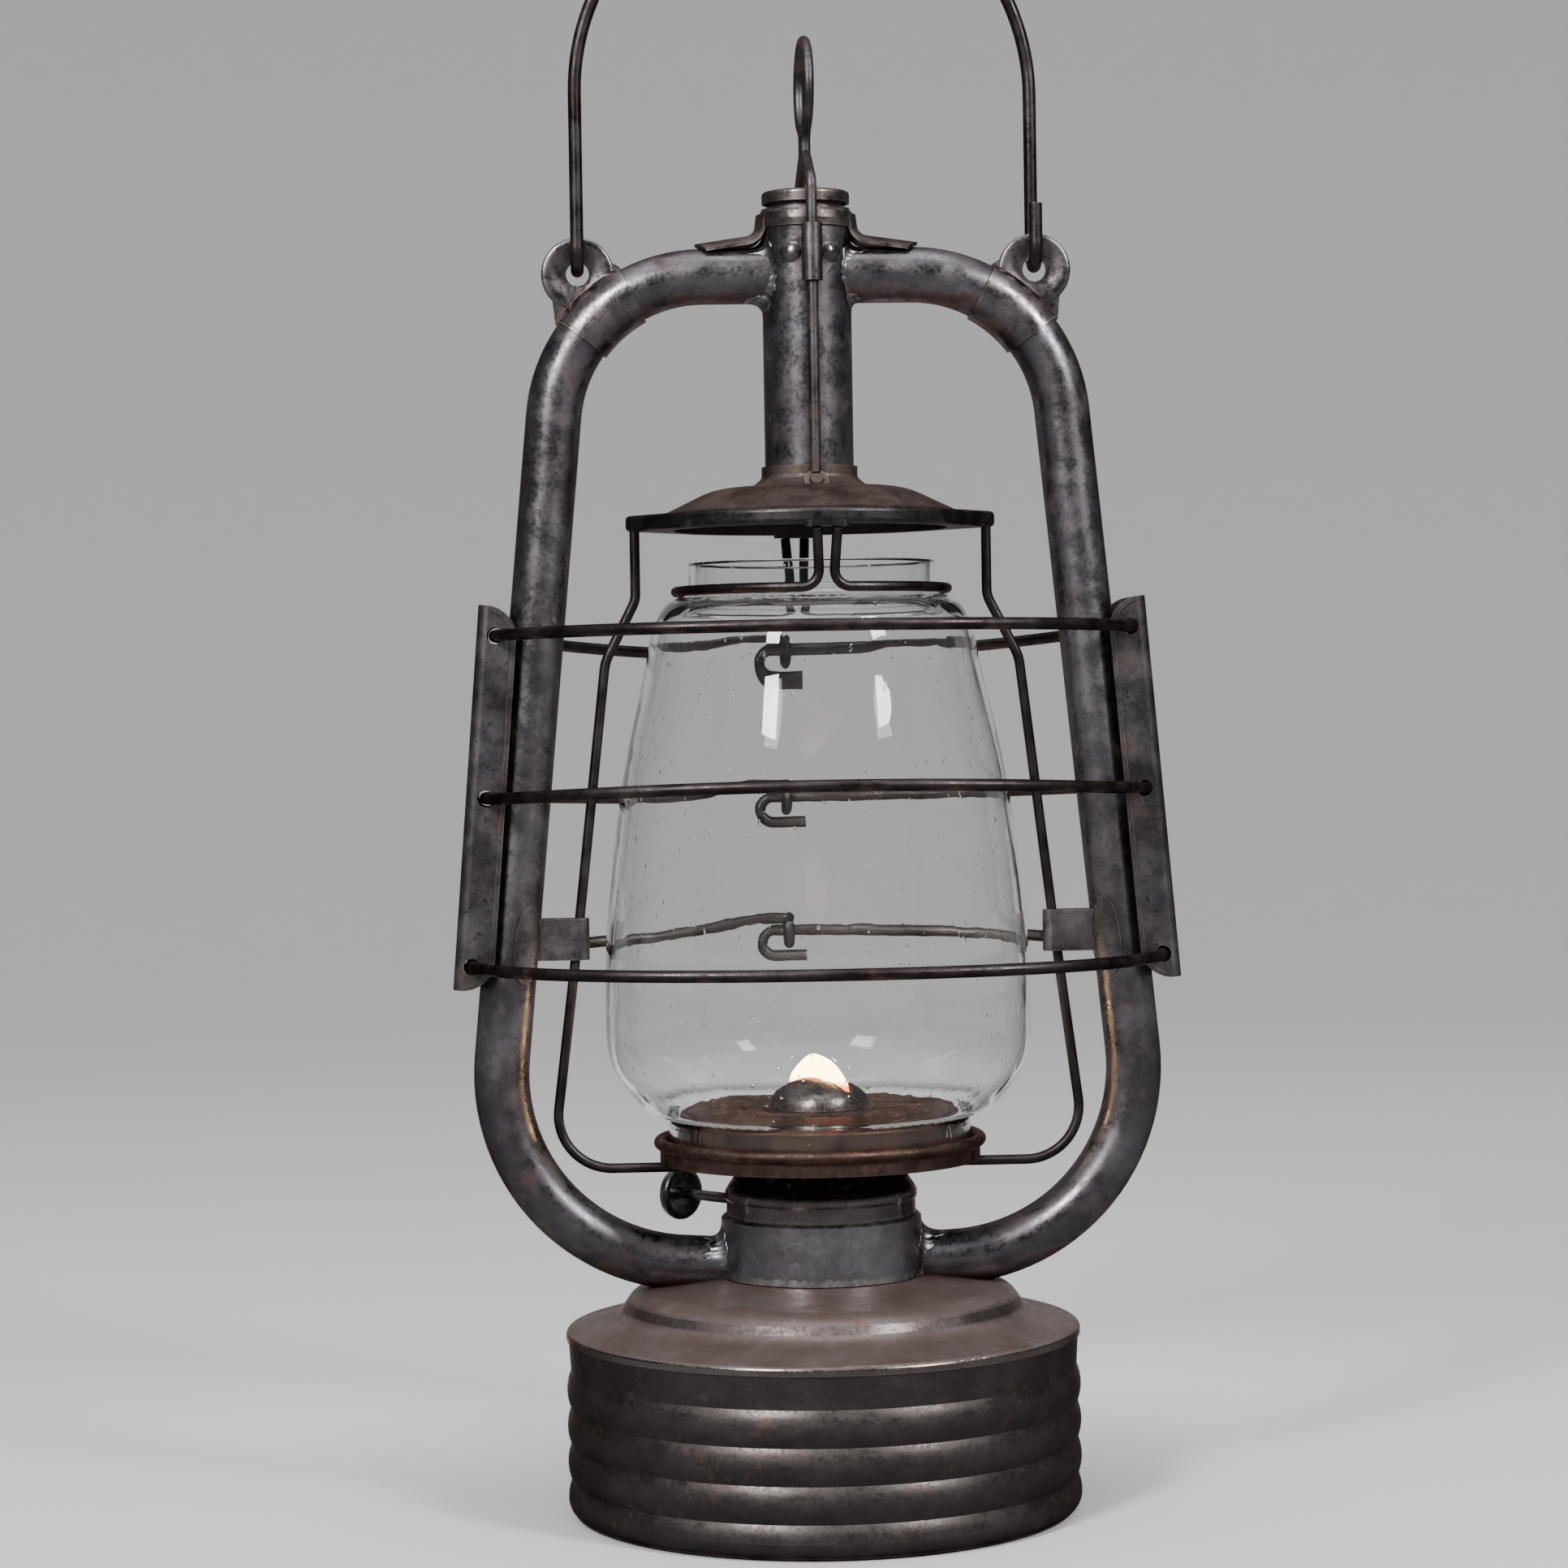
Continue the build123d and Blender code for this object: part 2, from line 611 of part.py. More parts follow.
def lift_guide(side):
    """Riveted guide for the lift wire, side is -1 at the front, +1 at the rear."""
    outward = plan(90 + lift_turn) * side
    face = Plane((0, 0, 0), x_dir=plan(lift_turn), z_dir=Vector(0, 0, 0) - plan(90 + lift_turn))
    with BuildSketch(Plane.XY.offset(308.5)) as saddle:
        Circle(centre_tube_r + 0.7)
        Circle(centre_tube_r + 0.02, mode=Mode.SUBTRACT)
    extrude(saddle.sketch, amount=14.6)
    with BuildSketch(face) as outline:
        with Locations((-4.5, 316.3), (4.5, 316.3)):
            Circle(2.8)
        with Locations((0, 311.0), (0, 320.4)):
            Circle(2.6)
        make_hull()
    extrude(outline.sketch, amount=-20 * side, mode=Mode.INTERSECT)
    with BuildSketch(Plane.XY.offset(309.0)) as sleeve:
        with Locations(outward * lift_y):
            Circle(lift_wire_r + 1.2)
    extrude(sleeve.sketch, amount=14.1)
    with BuildSketch(Plane.XY.offset(300)) as bore:
        with Locations(outward * lift_y):
            Circle(lift_wire_r + 0.3)
        Circle(centre_tube_r + 0.02)
    extrude(bore.sketch, amount=40, mode=Mode.SUBTRACT)


with BuildPart() as lift_guide_front:
    lift_guide(-1)
lift_guide_front.part.label = "lift_guide_front"

with BuildPart() as lift_guide_rear:
    lift_guide(1)
lift_guide_rear.part.label = "lift_guide_rear"

with BuildPart() as guide_rivets:
    for facing in (-90, 90):
        for spread in (-25.0, 25.0):
            outward = plan(facing + spread + lift_turn)
            with Locations(outward * (centre_tube_r - 2.1) + Vector(0, 0, 316.3)):
                Sphere(3.9)
    with BuildSketch(Plane.XY.offset(300)) as plates_and_sleeves:
        Circle(centre_tube_r + 0.75)
        with Locations(plan(90 + lift_turn) * lift_y, plan(-90 + lift_turn) * lift_y):
            Circle(lift_wire_r + 1.25)
    extrude(amount=40, mode=Mode.SUBTRACT)
guide_rivets.part.label = "guide_rivets"

# ---- globe, plate and burner cone --------------------------------------
globe_outline = [
    (globe_neck_r[0], 99.4), (42.2, 101.0), (47.6, 105.8), (52.1, 112.8), (53.7, 125.0),
    (53.3, 143.7), (51.0, 167.0), (46.1, 197.0), (42.0, 215.0), (38.9, 226.2),
]

rim_bulge = 0.6                 # the rims are melted round

with BuildPart() as globe:
    with BuildSketch(Plane.XZ):
        with BuildLine():
            for inset in (0, glass):
                Line((globe_neck_r[0] - inset, globe_z[0]), (globe_neck_r[0] - inset, 97.6))
                Spline(
                    (globe_neck_r[0] - inset, 97.6),
                    *[(radius - inset, height + inset * 0.35 * (height < 110)
                       - inset * 0.35 * (height > 210)) for radius, height in globe_outline[1:]],
                    (globe_neck_r[1] + 3.4 - inset, 230.6 - inset * 0.9),
                    (globe_neck_r[1] - inset, 233.5 - inset * 0.6),
                    tangents=[(0, 1), (0, 1)],
                )
                Line((globe_neck_r[1] - inset, 233.5 - inset * 0.6),
                     (globe_neck_r[1] - inset, globe_z[1]))
            SagittaArc(
                (globe_neck_r[0], globe_z[0]), (globe_neck_r[0] - glass, globe_z[0]), -rim_bulge,
            )
            SagittaArc(
                (globe_neck_r[1], globe_z[1]), (globe_neck_r[1] - glass, globe_z[1]), rim_bulge,
            )
        make_face()
    revolve(axis=Axis.Z)
globe.part.label = "globe"

with BuildPart() as globe_plate:
    with BuildSketch(Plane.XZ):
        with BuildLine():
            Polyline(
                (19.8, plate_z), (plate_r, plate_z), (plate_r, 92.6), (plate_r - 0.6, 92.6),
                (plate_r - 0.6, plate_z + 0.6), (19.8, plate_z + 0.6), close=True,
            )
        make_face()
        with Locations((plate_r, 93.5)):
            Circle(1.5)
    revolve(axis=Axis.Z)
globe_plate.part.label = "globe_plate"

with BuildPart() as burner_deck:
    revolve_sheet(
        [(cone_r - 2.2, deck_z - 0.4), (32.0, deck_z - 0.4), (35.8, deck_z - 1.2),
         (35.8, plate_z + 0.65)],
        [6.0, 1.0], 0.6,
    )
    with BuildSketch(Plane.XY.offset(deck_z - 2)):
        with PolarLocations(19.0, 20):
            Circle(1.2)
        with PolarLocations(25.5, 28):
            Circle(1.2)
    extrude(amount=4, mode=Mode.SUBTRACT)
burner_deck.part.label = "burner_deck"

with BuildPart() as burner_cone:
    with BuildSketch(Plane.XZ):
        with BuildLine():
            for skin in (0, 0.6):
                Spline(
                    (0, cone_top_z - skin), (5.5, cone_top_z - 1.0 - skin),
                    (cone_r - 2.3 - skin * 0.7, cone_top_z - 4.1 - skin * 0.7),
                    (cone_r - skin, deck_z + 0.4),
                    tangents=[(1, 0), (0.15, -1)],
                )
            Line((0, cone_top_z), (0, cone_top_z - 0.6))
            Line((cone_r, deck_z + 0.4), (cone_r - 0.6, deck_z + 0.4))
        make_face()
    revolve(axis=Axis.Z)
    revolve_profile(
        (cone_r - 0.6, deck_z - 0.35), (cone_r + 1.6, deck_z - 0.35), (cone_r + 1.6, deck_z + 0.15),
        (cone_r, deck_z + 0.4), (cone_r - 0.6, deck_z + 0.4),
    )
    with BuildSketch(wick_plane.offset(deck_z + 1.5)):
        SlotOverall(21.0, 5.0)
    extrude(amount=10, mode=Mode.SUBTRACT)
burner_cone.part.label = "burner_cone"

# ---- carriage wires -----------------------------------------------------
side_wire_points = [
    (side_wire_x, hood_hem_z[0]), (side_wire_x, 230.5), (52.3, 215.0), (60.3, 146.0),
    (67.8, 87.3), (30.0, 87.3),
]

with BuildPart() as side_wire_right:
    with BuildLine(Plane.XZ) as side_route:
        FilletPolyline(*side_wire_points, radius=[7.0, 12.0, 60.0, 13.5])
    sweep_round(side_route, wire_r)
side_wire_right.part.label = "side_wire_right"

with BuildPart() as side_wire_left:
    mirror(side_wire_right.part, about=Plane.YZ)
side_wire_left.part.label = "side_wire_left"

drop_gap = 1.6                  # half the gap between the two drops at the bend
drop_bend = 4.5
ring_start = degrees(atan2(clamp_r, drop_gap + drop_bend))

with BuildPart() as clamp_straight:
    with BuildLine() as clamp_route:
        for side in (-1, 1):
            ring_end = plan(ring_start) * clamp_r
            knee = (drop_gap + 0.35, side * (ring_end.Y + 0.75), clamp_z + drop_bend)
            foot = (ring_end.X, side * ring_end.Y, clamp_z)
            drop = (drop_gap + 0.9, side * (hood_hem_r - 1.9), hood_hem_z[0] - 0.95)
            Line(drop, knee)
            tangent_in = Vector(*knee) - Vector(*drop)
            tangent_out = Vector(sin(radians(ring_start)), -side * cos(radians(ring_start)), 0)
            Spline(knee, foot, tangents=[tangent_in.normalized(), tangent_out])
        ThreePointArc(
            (ring_end.X, -ring_end.Y, clamp_z), (clamp_r, 0, clamp_z),
            (ring_end.X, ring_end.Y, clamp_z),
        )
    sweep_round(clamp_route, wire_r)

with BuildPart() as globe_clamp_right:
    add(clamp_straight.part, rotation=(0, 0, lift_turn))
globe_clamp_right.part.label = "globe_clamp_right"

with BuildPart() as globe_clamp_left:
    add(clamp_straight.part.mirror(Plane.YZ), rotation=(0, 0, lift_turn))
globe_clamp_left.part.label = "globe_clamp_left"

# ---- wire guides on the side tubes -------------------------------------
guide_z = (140.2, 150.7)
guide_x = 57.4
guide_gap = 1.75                # half the inside width
guide_mid_z = sum(guide_z) / 2

with BuildPart() as wire_guide_right:
    tube_axis = Vector(-sin(radians(tube_tilt)), 0, cos(radians(tube_tilt)))
    tube_section = Plane((tube_x(120), 0, 120), z_dir=tube_axis)
    with BuildSketch(tube_section):
        Circle(tube_r + 0.75)
    extrude(amount=50)
    with BuildSketch(Plane.XZ):
        with Locations((tube_x(guide_mid_z) - 4.0, guide_mid_z - 1.0)):
            Ellipse(3.2, 9.8, rotation=tube_tilt)
    extrude(amount=12, both=True, mode=Mode.INTERSECT)
    with BuildSketch(Plane.XY.offset(guide_z[0])):
        outer = guide_gap + sheet
        with Locations((guide_x + outer, 0)):
            Circle(outer)
        with Locations((guide_x + outer, 0)):
            Rectangle(14.0, 2 * outer, align=(Align.MIN, Align.CENTER))
        with Locations((guide_x + outer, 0)):
            Circle(guide_gap, mode=Mode.SUBTRACT)
            Rectangle(15.0, 2 * guide_gap, align=(Align.MIN, Align.CENTER), mode=Mode.SUBTRACT)
    extrude(amount=guide_z[1] - guide_z[0])
    add(tube_core_right.part, mode=Mode.SUBTRACT)
wire_guide_right.part.label = "wire_guide_right"

with BuildPart() as wire_guide_left:
    mirror(wire_guide_right.part, about=Plane.YZ)
wire_guide_left.part.label = "wire_guide_left"

# ---- guard --------------------------------------------------------------
# (side extreme, height at the plates, at the front, at the rear)
hoop_levels = [
    (80.4, (222.0, 222.6, 216.5)),
    (83.4, (181.3, 184.5, 178.5)),
    (87.6, (139.4, 139.6, 143.0)),
]
hook_x = -4.0
eye_r = 3.4
hook_r = 3.4


def hoop_point(side_x, levels, angle):
    """Point of a hoop's route at an angle from the front, in degrees."""
    plate_level, front_level, rear_level = levels
    out = sin(radians(angle))
    back = -cos(radians(angle))
    deep = hoop_front if back < 0 else hoop_rear
    mid_level = front_level if back < 0 else rear_level
    x = side_x * (abs(out) ** 0.94) * (1 if out > 0 else -1)
    return (x, deep * back, plate_level + (mid_level - plate_level) * back * back)


def build_hoop(side_x, levels):
    """One wire that starts in a hook at the rear and ends in the eye round it."""
    rear_z = levels[2]
    bend_r = 2.5
    tail = hook_x - 4.0
    eye_z = rear_z + eye_r
    eye_end = radians(-60)
    corners = (
        [(tail, hoop_rear, rear_z), (8.0, hoop_rear, rear_z)]
        + [hoop_point(side_x, levels, angle) for angle in range(156, -157, -12)]
        + [(hook_x - 9.0, hoop_rear - bend_r, eye_z), (hook_x - bend_r, hoop_rear - bend_r, eye_z)]
    )
    with BuildLine() as route:
        Line((hook_x + 5.0, hoop_rear, rear_z - 2 * hook_r), (tail, hoop_rear, rear_z - 2 * hook_r))
        ThreePointArc(
            (tail, hoop_rear, rear_z - 2 * hook_r), (tail - hook_r, hoop_rear, rear_z - hook_r),
            corners[0],
        )
        FilletPolyline(*corners, radius=bend_radii(corners))
        ThreePointArc(
            corners[-1],
            (hook_x - bend_r * (1 - sin(pi / 4)), hoop_rear - bend_r * sin(pi / 4), eye_z),
            (hook_x, hoop_rear, eye_z),
        )
        ThreePointArc(
            (hook_x, hoop_rear, eye_z),
            (hook_x, hoop_rear + eye_r * sin(radians(150)), rear_z + eye_r * cos(radians(150))),
            (hook_x, hoop_rear + eye_r * sin(eye_end), rear_z + eye_r * cos(eye_end)),
        )
    sweep_round(route, hoop_r)


with BuildPart() as guard_hoop_top:
    build_hoop(*hoop_levels[0])
guard_hoop_top.part.label = "guard_hoop_top"

with BuildPart() as guard_hoop_middle:
    build_hoop(*hoop_levels[1])
guard_hoop_middle.part.label = "guard_hoop_middle"

with BuildPart() as guard_hoop_bottom:
    build_hoop(*hoop_levels[2])
guard_hoop_bottom.part.label = "guard_hoop_bottom"

wing_y = 8.6                    # outer face of the plate's wings
corner_r = 8.0
rim_width = 1.2
rim_height = 0.5
hole_r = 2.1
plate_run = (guard_bottom[0] - guard_top[0], guard_top[1] - guard_bottom[1])
plate_length = sqrt(plate_run[0] ** 2 + plate_run[1] ** 2)
plate_tilt = degrees(atan2(*plate_run))

with BuildPart() as upright_plate:      # fold on the Z axis, wings towards -X
    with BuildSketch(Plane.XY):
        with BuildLine():
            FilletPolyline(
                (-guard_width, -wing_y), (0, -wing_y), (0, wing_y), (-guard_width, wing_y),
                radius=2.8,
            )
            offset(amount=guard_sheet, side=Side.LEFT)
        make_face()
    extrude(amount=-plate_length)
    with BuildSketch(Plane.XZ) as wing_outline:
        Rectangle(guard_width, plate_length, align=(Align.MAX, Align.MAX))
        fillet(wing_outline.vertices().group_by(Axis.X)[0], radius=corner_r)
    extrude(amount=2 * wing_y, both=True, mode=Mode.INTERSECT)

with BuildPart() as plate_rim:          # raised edge round both wings
    with BuildSketch(Plane.XZ):
        add(wing_outline.sketch)
        offset(wing_outline.sketch, amount=-rim_width, mode=Mode.SUBTRACT)
        with Locations((1.0, 5.0)):
            Rectangle(4.0, plate_length + 10, align=(Align.MAX, Align.MAX), mode=Mode.SUBTRACT)
    extrude(amount=wing_y + rim_height, both=True)
    with BuildSketch(Plane.XZ):
        with Locations((5.0, 5.0)):
            Rectangle(2 * guard_width, plate_length + 10, align=(Align.MAX, Align.MAX))
    extrude(amount=wing_y - guard_sheet, both=True, mode=Mode.SUBTRACT)

with BuildPart() as guard_plate_right:
    plate_place = Location((guard_top[0], 0, guard_top[1]), (0, -plate_tilt, 0))
    add(upright_plate.part.moved(plate_place))
    add(plate_rim.part.moved(plate_place))
    with BuildSketch(Plane.XZ):
        for side_x, levels in hoop_levels:
            with Locations((side_x * 0.991, levels[0])):
                Circle(hole_r)
    extrude(amount=2 * wing_y, both=True, mode=Mode.SUBTRACT)
guard_plate_right.part.label = "guard_plate_right"

with BuildPart() as guard_plate_left:
    mirror(guard_plate_right.part, about=Plane.YZ)
guard_plate_left.part.label = "guard_plate_left"

pieces = [
    fount_side, fount_bottom, fount_top, filler_neck, filler_cap, cap_washer,
    collar, burner_base, burner_gallery, wick_tube, wick, knob_shaft, spur_wheels, wick_knob,
    side_tube_right, side_tube_left, centre_tube, tube_cap, top_saddle,
    bail_ear_right, bail_ear_left, bail_handle,
    lift_wire, hood_rivets, hood, lift_guide_front, lift_guide_rear, guide_rivets,
    globe, globe_plate, burner_deck, burner_cone,
    side_wire_right, side_wire_left, globe_clamp_right, globe_clamp_left,
    wire_guide_right, wire_guide_left,
    guard_hoop_top, guard_hoop_middle, guard_hoop_bottom, guard_plate_right, guard_plate_left,
]
for piece in pieces:
    export_step(piece.part, f"parts/{piece.part.label}.step")
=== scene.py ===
import json
from math import cos, pi, radians, sin, sqrt

import bpy
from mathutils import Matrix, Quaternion, Vector, noise
from mathutils.bvhtree import BVHTree


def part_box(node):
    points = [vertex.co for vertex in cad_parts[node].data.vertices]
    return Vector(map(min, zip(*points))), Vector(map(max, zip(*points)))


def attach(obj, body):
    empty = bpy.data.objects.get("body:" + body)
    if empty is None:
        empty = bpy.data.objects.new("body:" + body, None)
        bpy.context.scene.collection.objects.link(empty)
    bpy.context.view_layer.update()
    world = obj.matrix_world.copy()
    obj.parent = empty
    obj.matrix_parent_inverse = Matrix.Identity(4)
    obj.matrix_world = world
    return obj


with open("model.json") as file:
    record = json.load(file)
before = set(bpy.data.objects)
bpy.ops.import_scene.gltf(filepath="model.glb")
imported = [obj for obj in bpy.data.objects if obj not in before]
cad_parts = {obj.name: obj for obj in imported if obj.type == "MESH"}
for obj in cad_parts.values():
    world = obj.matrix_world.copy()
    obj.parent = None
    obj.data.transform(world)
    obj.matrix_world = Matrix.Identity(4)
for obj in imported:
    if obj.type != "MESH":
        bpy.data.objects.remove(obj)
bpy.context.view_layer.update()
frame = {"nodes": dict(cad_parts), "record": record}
nodes = frame["nodes"]

# ---- places ----------------------------------------------------------------
# Metres, read from the frame where it has them. The side tubes stand in the XZ
# plane and the front faces -Y.
tube_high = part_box("side_tube_right")[1]
tube_r = tube_high.y
tube_top_z = tube_high.z - tube_r           # axis of the top stretch of the side tubes
post_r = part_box("centre_tube")[1].x
collar_low, collar_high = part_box("collar")
cone_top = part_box("burner_cone")[1].z
wick_angle = radians(133.0)                 # direction of the wick's width
low_tube_axis = (Vector((0.020, 0, 0.06215)), Vector((0.0847, 0, 0.06595)))     # right tube
hem_fade = (0.2514, 0.2524)                 # heights where the hood's dark hem ends
soot_fade = (0.0800, 0.0850)                # heights where the burner turns sooty
char_fade = (0.098, 0.104)                  # heights where the wick turns black


# ---- helpers ---------------------------------------------------------------
def add_object(name, data):
    """New object in the scene."""
    item = bpy.data.objects.new(name, data)
    bpy.context.scene.collection.objects.link(item)
    return item


def smooth_mesh(name, points, faces):
    """Mesh with smooth shading."""
    mesh = bpy.data.meshes.new(name)
    mesh.from_pydata(points, [], faces)
    mesh.update()
    for polygon in mesh.polygons:
        polygon.use_smooth = True
    return mesh


class Look:
    """A material, with short names for the nodes that it is built from."""

    def __init__(self, name, **sockets):
        self.material = bpy.data.materials.new(name)
        self.material.use_nodes = True
        self.tree = self.material.node_tree
        self.shader = self.tree.nodes["Principled BSDF"]
        for socket, value in sockets.items():
            self.shader.inputs[socket.replace("_", " ")].default_value = value
        self.place = self.tree.nodes.new("ShaderNodeTexCoord").outputs["Object"]
        self.geometry = self.tree.nodes.new("ShaderNodeNewGeometry").outputs

    def feed(self, socket, value):
        """Link a socket to another one, or set it to a plain value."""
        if isinstance(value, bpy.types.NodeSocket):
            self.tree.links.new(value, socket)
        elif isinstance(value, tuple) and len(value) == 3 and socket.type == "RGBA":
            socket.default_value = (*value, 1.0)
        else:
            socket.default_value = value

    def noise(self, size, detail=4.0, rough=0.55, stretch=(1, 1, 1), shift=0.0):
        """Cloudy noise from 0 to 1 whose blots are about size metres wide."""
        mapping = self.tree.nodes.new("ShaderNodeMapping")
        mapping.inputs["Scale"].default_value = [1 / (size * s) for s in stretch]
        mapping.inputs["Location"].default_value = (shift, shift * 1.7, shift * 0.6)
        self.feed(mapping.inputs["Vector"], self.place)
        node = self.tree.nodes.new("ShaderNodeTexNoise")
        node.inputs["Scale"].default_value = 1.0
        node.inputs["Detail"].default_value = detail
        node.inputs["Roughness"].default_value = rough
        self.feed(node.inputs["Vector"], mapping.outputs["Vector"])
        return node.outputs["Fac"]

    def band(self, source, start, end, low=0.0, high=1.0):
        """Smooth step from low to high as the source goes from start to end."""
        node = self.tree.nodes.new("ShaderNodeMapRange")
        node.interpolation_type = "SMOOTHSTEP"
        values = (source, start, end, low, high)
        for socket, value in zip(("Value", "From Min", "From Max", "To Min", "To Max"), values):
            self.feed(node.inputs[socket], value)
        return node.outputs["Result"]

    def math(self, operation, first, second):
        """Result of one operation on two sockets or values."""
        node = self.tree.nodes.new("ShaderNodeMath")
        node.operation = operation
        self.feed(node.inputs[0], first)
        self.feed(node.inputs[1], second)
        return node.outputs[0]

    def mix(self, share, first, second):
        """First colour where share is 0, second colour where it is 1."""
        node = self.tree.nodes.new("ShaderNodeMix")
        node.data_type = "RGBA"
        factor, low, high = node.inputs[0], node.inputs[6], node.inputs[7]
        self.feed(factor, share)
        self.feed(low, first)
        self.feed(high, second)
        return node.outputs[2]

    def height(self):
        """Height above the ground, in metres."""
        node = self.tree.nodes.new("ShaderNodeSeparateXYZ")
        self.feed(node.inputs[0], self.place)
        return node.outputs["Z"]

    def facing(self, direction):
        """How much the surface faces a direction of the object, from -1 to 1."""
        node = self.tree.nodes.new("ShaderNodeVectorMath")
        node.operation = "DOT_PRODUCT"
        self.feed(node.inputs[0], self.geometry["Normal"])
        node.inputs[1].default_value = direction
        return node.outputs["Value"]

    def crevice(self, reach):
        """1 in corners and joints, 0 on open surface."""
        node = self.tree.nodes.new("ShaderNodeAmbientOcclusion")
        node.samples = 4
        node.inputs["Distance"].default_value = reach
        return self.band(node.outputs["AO"], 0.85, 0.35)

    def edge(self, radius):
        """1 along edges, 0 on flat or gently curved surface."""
        bevel = self.tree.nodes.new("ShaderNodeBevel")
        bevel.samples = 4
        bevel.inputs["Radius"].default_value = radius
        node = self.tree.nodes.new("ShaderNodeVectorMath")
        node.operation = "DOT_PRODUCT"
        self.feed(node.inputs[0], bevel.outputs["Normal"])
        self.feed(node.inputs[1], self.geometry["Normal"])
        return self.band(node.outputs["Value"], 0.97, 0.80)

    def bump(self, *layers):
        """Bump from (height, distance in metres) layers, one over the other."""
        below = None
        for height, distance in layers:
            node = self.tree.nodes.new("ShaderNodeBump")
            node.inputs["Distance"].default_value = distance
            self.feed(node.inputs["Height"], height)
            if below:
                self.feed(node.inputs["Normal"], below)
            below = node.outputs["Normal"]
        self.feed(self.shader.inputs["Normal"], below)

    def see_through(self, rays, tint, reverse=False):
        """Let the rays that a Light Path output names pass, or all rays but those."""
        clear = self.tree.nodes.new("ShaderNodeBsdfTransparent")
        clear.inputs["Color"].default_value = (*tint, 1.0)
        path = self.tree.nodes.new("ShaderNodeLightPath")
        both = self.tree.nodes.new("ShaderNodeMixShader")
        self.feed(both.inputs[0], path.outputs[rays])
        self.feed(both.inputs[2 if reverse else 1], self.shader.outputs["BSDF"])
        self.feed(both.inputs[1 if reverse else 2], clear.outputs["BSDF"])
        self.feed(self.tree.nodes["Material Output"].inputs["Surface"], both.outputs[0])

    def paint(self, colour, roughness):
        """Set the two main sockets and return the finished material."""
        self.feed(self.shader.inputs["Base Color"], colour)
        self.feed(self.shader.inputs["Roughness"], roughness)
        return self.material


# ---- materials -------------------------------------------------------------
PIT_AND_CORNER_SHADE = (0.016, 0.011, 0.011)                 # dark pits in pores, and painted shade in corners
BROWN = (0.080, 0.043, 0.038)               # usual stain
RUST = (0.115, 0.045, 0.024)                # stain on the tube's cap
ORANGE = (0.300, 0.090, 0.030)              # fresh rust
WORN = (0.42, 0.38, 0.36)                   # edge rubbed bare
SOOT = (0.050, 0.045, 0.045)
TIN = (0.44, 0.42, 0.41)                    # old solder


def old_steel(name, bare, dull, stain=BROWN, stain_start=0.62, smooth=0.30, rough=0.52,
              pit=0.5, under_stain_and_shade=0.2, worn=0.6, grain=(1, 1, 1), rust=0.0, rim=WORN, metal=1.0,
              layer=None):
    """Old bare steel: dull clouds, brown stain, dark pits, painted shade in corners and bright
    worn edges.

    bare and dull are the two metal colours, stain_start is the noise level where the
    stain begins (higher is less of it), and under_stain_and_shade adds brown stain to faces
    that look down, which is partly real stain and partly painted shade.
    smooth and rough bound the roughness; pit, worn and rust are strengths from 0 to 1.
    rim is the colour of worn edges, and layer adds to the finished colour and roughness.
    """
    look = Look(name, Specular_Tint=(0.42, 0.34, 0.34, 1.0))
    clouds = look.noise(0.016, 4.0, 0.55, grain)
    blots = look.noise(0.0085, 4.0, 0.56, grain, 3.1)
    polish = look.noise(0.0062, 3.0, 0.55, grain, 4.7)
    speckle = look.noise(0.0011, 1.5, 0.5, shift=7.3)
    grit = look.noise(0.0034, 3.0, 0.55, shift=1.9)
    colour = look.mix(look.band(clouds, 0.34, 0.68), dull, bare)
    colour = look.mix(look.band(speckle, 0.40, 0.70, 0.0, 0.35), colour, dull)
    # Partly painted shade: faces that look down get more of the dark brown stain.
    low_side_stain_and_shade = look.band(look.facing((0, 0, -1)), 0.1, 1.0, 0.0, under_stain_and_shade)
    corners = look.crevice(0.003)
    stain_source = look.math("ADD", look.math("ADD", blots, low_side_stain_and_shade),
                             look.math("MULTIPLY", corners, 0.24))
    stained = look.band(stain_source, stain_start - 0.03, stain_start + 0.24)
    colour = look.mix(stained, colour, stain)
    if rust:
        spots = look.noise(0.0030, 6.0, 0.72, shift=12.0)
        places = look.noise(0.022, 2.0, 0.5, shift=9.0)
        rusty = look.math("MULTIPLY", look.band(spots, 0.52, 0.68), look.band(places, 0.48, 0.66))
        rusty = look.math("MULTIPLY", rusty, rust)
        colour = look.mix(rusty, colour, ORANGE)
        stained = look.math("MAXIMUM", stained, rusty)
    pitted = look.math("MULTIPLY", look.band(speckle, 0.56, 0.66),
                       look.band(grit, 0.46, 0.62, 0.15, 1.0))
    pitted = look.math("MULTIPLY", pitted, pit)
    colour = look.mix(pitted, colour, PIT_AND_CORNER_SHADE)
    # Painted shade: corners and joints found by ambient occlusion are darkened towards near black.
    colour = look.mix(look.band(corners, 0.45, 1.0, 0.0, 0.7), colour, PIT_AND_CORNER_SHADE)
    edges = look.math("MULTIPLY", look.edge(0.0006), look.band(grit, 0.30, 0.60, 0.25, worn))
    colour = look.mix(edges, colour, rim)
    roughness = look.band(polish, 0.32, 0.68, rough, smooth)
    roughness = look.math("ADD", roughness, look.math("MULTIPLY", stained, 0.16))
    roughness = look.math("ADD", roughness, look.band(speckle, 0.35, 0.65, -0.04, 0.06))
    brown = look.math("MULTIPLY", stained, 0.45)
    look.feed(look.shader.inputs["Metallic"], look.math("SUBTRACT", metal, brown))
    look.bump((clouds, 0.00018), (grit, 0.00003), (speckle, -0.00001))
    if layer:
        colour, roughness = layer(look, colour, roughness)
    return look.paint(colour, roughness)


